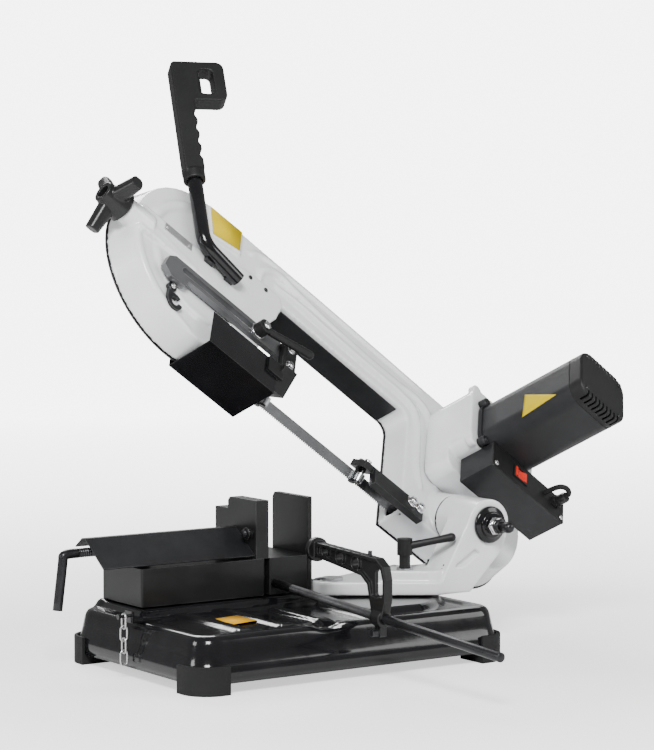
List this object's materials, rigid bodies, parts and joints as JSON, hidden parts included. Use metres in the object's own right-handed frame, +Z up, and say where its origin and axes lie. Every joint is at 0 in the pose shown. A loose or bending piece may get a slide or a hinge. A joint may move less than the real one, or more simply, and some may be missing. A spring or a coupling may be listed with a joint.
{
  "type": "horizontal band saw",
  "caption": "Horizontal band saw: canted bow with band wheels and motor, hinged on a swivel bracket over a tray with a screw vise and a cut-off stop.",
  "frame": {"origin": "centre of the rectangle of foot bolts, on the floor plane", "axes": "+X along the vise from the screw crank towards the bow's hinge, +Y from the operator's side to the back, +Z up"},
  "size_m": [0.9658, 0.8473, 1.0017],
  "materials": {
    "white_paint": "gloss powder coat",
    "black_enamel": "gloss enamel",
    "black_casting": "satin paint on casting",
    "dark_grey_sheet": "satin",
    "motor_grey": "fine texture",
    "bracket_grey": "satin",
    "machined_steel": "machined",
    "blackened_steel": "oil blackened",
    "band_steel": "rolled",
    "zinc_steel": "zinc plated",
    "bright_chrome": "polished",
    "grey_iron": "as cast, machined rim",
    "bronze": "sintered",
    "black_rubber": "matt",
    "matt_black_plastic": "fine grain",
    "gloss_black_plastic": "gloss",
    "red_plastic": "gloss",
    "plate_aluminium": "anodised"
  },
  "bodies": {
    "base": {"base_tray": "black_enamel", "rubber_feet": "black_rubber", "chain_anchor": "black_enamel", "vise_body": "black_casting", "vise_nut": "machined_steel", "bed_block": "black_casting", "fixed_jaw": "black_casting", "stop_rod": "blackened_steel", "turret_pin": "machined_steel"},
    "chain": {"chain": "zinc_steel"},
    "vise_jaw": {"movable_jaw": "black_casting", "vise_cover": "dark_grey_sheet"},
    "vise_screw": {"vise_screw": "blackened_steel"},
    "stop": {"stop_arm": "black_casting", "stop_screw": "blackened_steel"},
    "turret": {"swivel_bracket": "white_paint", "hinge_bushes": "bronze", "return_spring": "machined_steel", "turret_lock_stud": "machined_steel"},
    "turret_lock": {"turret_lock_lever": "matt_black_plastic"},
    "arm": {"bow_casting": "white_paint", "rear_cover": "dark_grey_sheet", "cover_screws": "blackened_steel", "hinge_shaft": "blackened_steel", "hinge_washer": "black_enamel", "hinge_nut": "bright_chrome", "hinge_seal": "black_rubber", "gear_housing": "white_paint", "drive_bearings": "machined_steel", "blade": "band_steel", "fixed_guide": "black_casting", "fixed_guide_bolts": "blackened_steel", "motor_body": "motor_grey", "motor_stator": "grey_iron", "motor_end_cap": "matt_black_plastic", "control_box": "dark_grey_sheet", "control_lid": "matt_black_plastic", "cable_gland": "matt_black_plastic", "handle_tube": "black_enamel", "handle_grip": "matt_black_plastic", "chain_hook": "dark_grey_sheet", "name_plate": "plate_aluminium"},
    "rotor": {"motor_rotor": "machined_steel"},
    "layshaft": {"intermediate_gear": "machined_steel"},
    "drive": {"drive_wheel": "grey_iron", "drive_shaft": "machined_steel"},
    "tensioner": {"tension_block": "machined_steel"},
    "idler": {"idler_wheel": "grey_iron", "idler_bearings": "machined_steel"},
    "knob": {"tension_knob": "gloss_black_plastic"},
    "guide": {"guide_bar": "bracket_grey", "guard_box": "black_enamel", "moving_guide": "black_casting"},
    "guide_clamp": {"guide_clamp_lever": "matt_black_plastic"},
    "moving_front_roller": {"moving_guide_front_roller": "machined_steel"},
    "moving_rear_roller": {"moving_guide_rear_roller": "machined_steel"},
    "fixed_front_roller": {"fixed_guide_front_roller": "machined_steel"},
    "fixed_rear_roller": {"fixed_guide_rear_roller": "machined_steel"},
    "switch": {"rocker_switch": "red_plastic"},
    "trigger": {"trigger": "matt_black_plastic"}
  },
  "joints": [
    {"name": "turret_swivel", "type": "hinge", "parent": "base", "child": "turret", "pos_m": [0.1, 0.015, 0.102], "axis": [0, 0, 1], "range_deg": [0, 34]},
    {"name": "turret_lock", "type": "hinge", "parent": "turret", "child": "turret_lock", "pos_m": [0.2, -0.055, 0.165], "axis": [0, 0, 1], "range_deg": [-90, 0]},
    {"name": "arm_pivot", "type": "hinge", "parent": "turret", "child": "arm", "pos_m": [0.339, 0, 0.214], "axis": [0, 1, 0], "range_deg": [-36.2, 10]},
    {"name": "drive_spin", "type": "hinge", "parent": "arm", "child": "drive", "pos_m": [0.4183, 0.09672, 0.23973], "axis": [0.3388, -0.8192, 0.4629], "continuous": true},
    {"name": "layshaft_spin", "type": "hinge", "parent": "arm", "child": "layshaft", "pos_m": [0.46969, 0.07483, 0.29302], "axis": [0.3388, -0.8192, 0.4629], "continuous": true},
    {"name": "rotor_spin", "type": "hinge", "parent": "arm", "child": "rotor", "pos_m": [0.44758, 0.02584, 0.33053], "axis": [0.3388, -0.8192, 0.4629], "continuous": true},
    {"name": "tension_slide", "type": "slide", "parent": "arm", "child": "tensioner", "axis": [0.807, 0, -0.5906], "range_m": [0, 0.005]},
    {"name": "idler_spin", "type": "hinge", "parent": "tensioner", "child": "idler", "pos_m": [-0.1264, 0.09672, 0.63839], "axis": [0.3388, -0.8192, 0.4629], "continuous": true},
    {"name": "knob_turn", "type": "hinge", "parent": "arm", "child": "knob", "pos_m": [-0.28203, 0.08279, 0.76438], "axis": [0.807, 0, -0.5906], "range_deg": [0, 1210]},
    {"name": "guide_slide", "type": "slide", "parent": "arm", "child": "guide", "axis": [0.807, 0, -0.5906], "range_m": [0, 0.15]},
    {"name": "guide_clamp", "type": "hinge", "parent": "arm", "child": "guide_clamp", "pos_m": [-0.03849, 0.02222, 0.55024], "axis": [0.3388, -0.8192, 0.4629], "range_deg": [-60, 90]},
    {"name": "moving_front_roller_spin", "type": "hinge", "parent": "guide", "child": "moving_front_roller", "pos_m": [-0.042, 0.0065, 0.432], "axis": [0.5906, 0, 0.807], "continuous": true},
    {"name": "moving_rear_roller_spin", "type": "hinge", "parent": "guide", "child": "moving_rear_roller", "pos_m": [-0.042, 0.0235, 0.432], "axis": [0.5906, 0, 0.807], "continuous": true},
    {"name": "fixed_front_roller_spin", "type": "hinge", "parent": "arm", "child": "fixed_front_roller", "pos_m": [0.14764, 0.0065, 0.29321], "axis": [0.5906, 0, 0.807], "continuous": true},
    {"name": "fixed_rear_roller_spin", "type": "hinge", "parent": "arm", "child": "fixed_rear_roller", "pos_m": [0.14764, 0.0235, 0.29321], "axis": [0.5906, 0, 0.807], "continuous": true},
    {"name": "jaw_slide", "type": "slide", "parent": "base", "child": "vise_jaw", "axis": [1, 0, 0], "range_m": [-0.07, 0.078]},
    {"name": "screw_turn", "type": "hinge", "parent": "vise_jaw", "child": "vise_screw", "pos_m": [-0.2, 0.125, 0.19], "axis": [1, 0, 0], "range_deg": [-5045, 5620]},
    {"name": "stop_slide", "type": "slide", "parent": "base", "child": "stop", "axis": [0, 0.9981, 0.0614], "range_m": [-0.28, 0.03]},
    {"name": "chain_swing", "type": "hinge", "parent": "base", "child": "chain", "pos_m": [-0.312, 0.002, 0.101], "axis": [1, 0, 0], "range_deg": [-35, 35]},
    {"name": "switch_rock", "type": "hinge", "parent": "arm", "child": "switch", "pos_m": [0.44263, -0.0533, 0.28482], "axis": [0.4838, 0.5736, 0.661], "range_deg": [-6, 6]},
    {"name": "trigger_pull", "type": "slide", "parent": "arm", "child": "trigger", "axis": [-0.9483, 0.3169, 0.0157], "range_m": [0, 0.005]}
  ],
  "couplings": [
    {"joint": "layshaft_spin", "follows": "drive_spin", "ratio": -4.3333},
    {"joint": "rotor_spin", "follows": "drive_spin", "ratio": 16.611},
    {"joint": "idler_spin", "follows": "drive_spin", "ratio": 1},
    {"joint": "knob_turn", "follows": "tension_slide", "rad_per_m": 4188.8},
    {"joint": "screw_turn", "follows": "jaw_slide", "rad_per_m": 1256.6}
  ]
}
